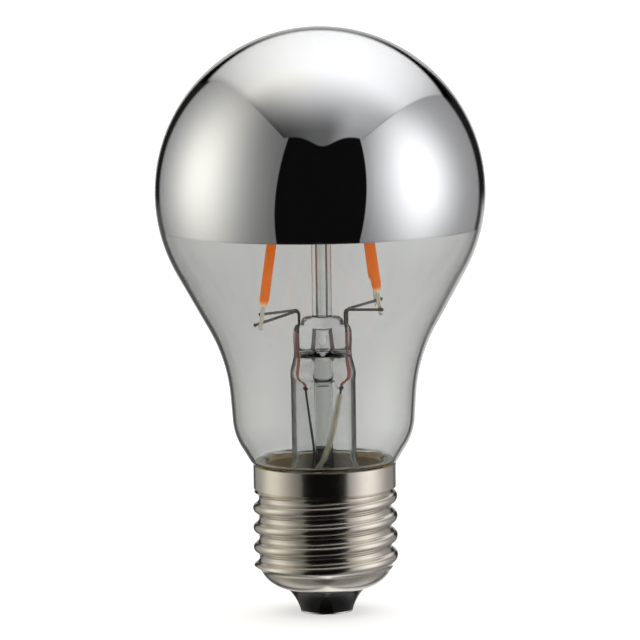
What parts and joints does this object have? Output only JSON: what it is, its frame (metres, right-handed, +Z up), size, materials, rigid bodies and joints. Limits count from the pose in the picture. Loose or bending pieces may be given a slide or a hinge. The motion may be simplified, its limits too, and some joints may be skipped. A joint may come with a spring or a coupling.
{
  "type": "silver crown led bulb",
  "caption": "Pear-shaped clear glass LED bulb with a mirrored silver crown, orange filament strips on a glass stem and a screw cap, for glare-free indirect light.",
  "frame": {"origin": "centre of the contact's flat face at the bottom of the cap", "axes": "+Z up the lamp's axis from the contact to the mirrored crown, +X to the right and +Y away from the viewer in the picture's view, with the blow hole on the stem's far side"},
  "size_m": [0.06, 0.06, 0.107],
  "materials": {
    "clear_glass": "clear, fire-polished",
    "mirror_silver": "bright silver coat",
    "cap_nickel": "bright nickel plate over rolled brass sheet",
    "insulator_black": "glossy black",
    "contact_metal": "pressed and plated",
    "solder": "dull solder",
    "cement_brown": "matt olive brown",
    "lead_metal": "dull tinned wire",
    "sleeve_cream": "translucent cream",
    "board_white": "satin solder mask",
    "chip_black": "matt moulded",
    "capacitor_black": "shrink sleeve",
    "resistor_beige": "matt lacquer",
    "wire_nickel": "drawn nickel",
    "seal_copper": "oxidised copper sheath",
    "phosphor_orange": "satin silicone with phosphor"
  },
  "bodies": {
    "root": {"arm_back_left": "wire_nickel", "arm_back_right": "wire_nickel", "arm_front_left": "wire_nickel", "arm_front_right": "wire_nickel", "base_cement": "cement_brown", "bridge_rectifier": "chip_black", "cap_insulator": "insulator_black", "cap_shell": "cap_nickel", "centre_contact": "contact_metal", "centre_post": "clear_glass", "contact_solder": "solder", "driver_board": "board_white", "driver_chip": "chip_black", "exhaust_tube": "clear_glass", "filament_back_left": "phosphor_orange", "filament_back_right": "phosphor_orange", "filament_front_left": "phosphor_orange", "filament_front_right": "phosphor_orange", "filter_capacitor": "capacitor_black", "fuse_resistor": "resistor_beige", "glass_envelope": "clear_glass", "lead_sleeve": "sleeve_cream", "live_lead": "lead_metal", "lower_tab_back_left": "wire_nickel", "lower_tab_back_right": "wire_nickel", "lower_tab_front_left": "wire_nickel", "lower_tab_front_right": "wire_nickel", "mirror_crown": "mirror_silver", "neutral_lead": "lead_metal", "outer_lead_left": "lead_metal", "outer_lead_right": "lead_metal", "seal_wire_back_left": "seal_copper", "seal_wire_back_right": "seal_copper", "seal_wire_front_left": "seal_copper", "seal_wire_front_right": "seal_copper", "sense_resistors": "chip_black", "stem_flare": "clear_glass", "top_link_a": "wire_nickel", "top_link_b": "wire_nickel", "upper_tab_back_left": "wire_nickel", "upper_tab_back_right": "wire_nickel", "upper_tab_front_left": "wire_nickel", "upper_tab_front_right": "wire_nickel"}
  },
  "joints": []
}
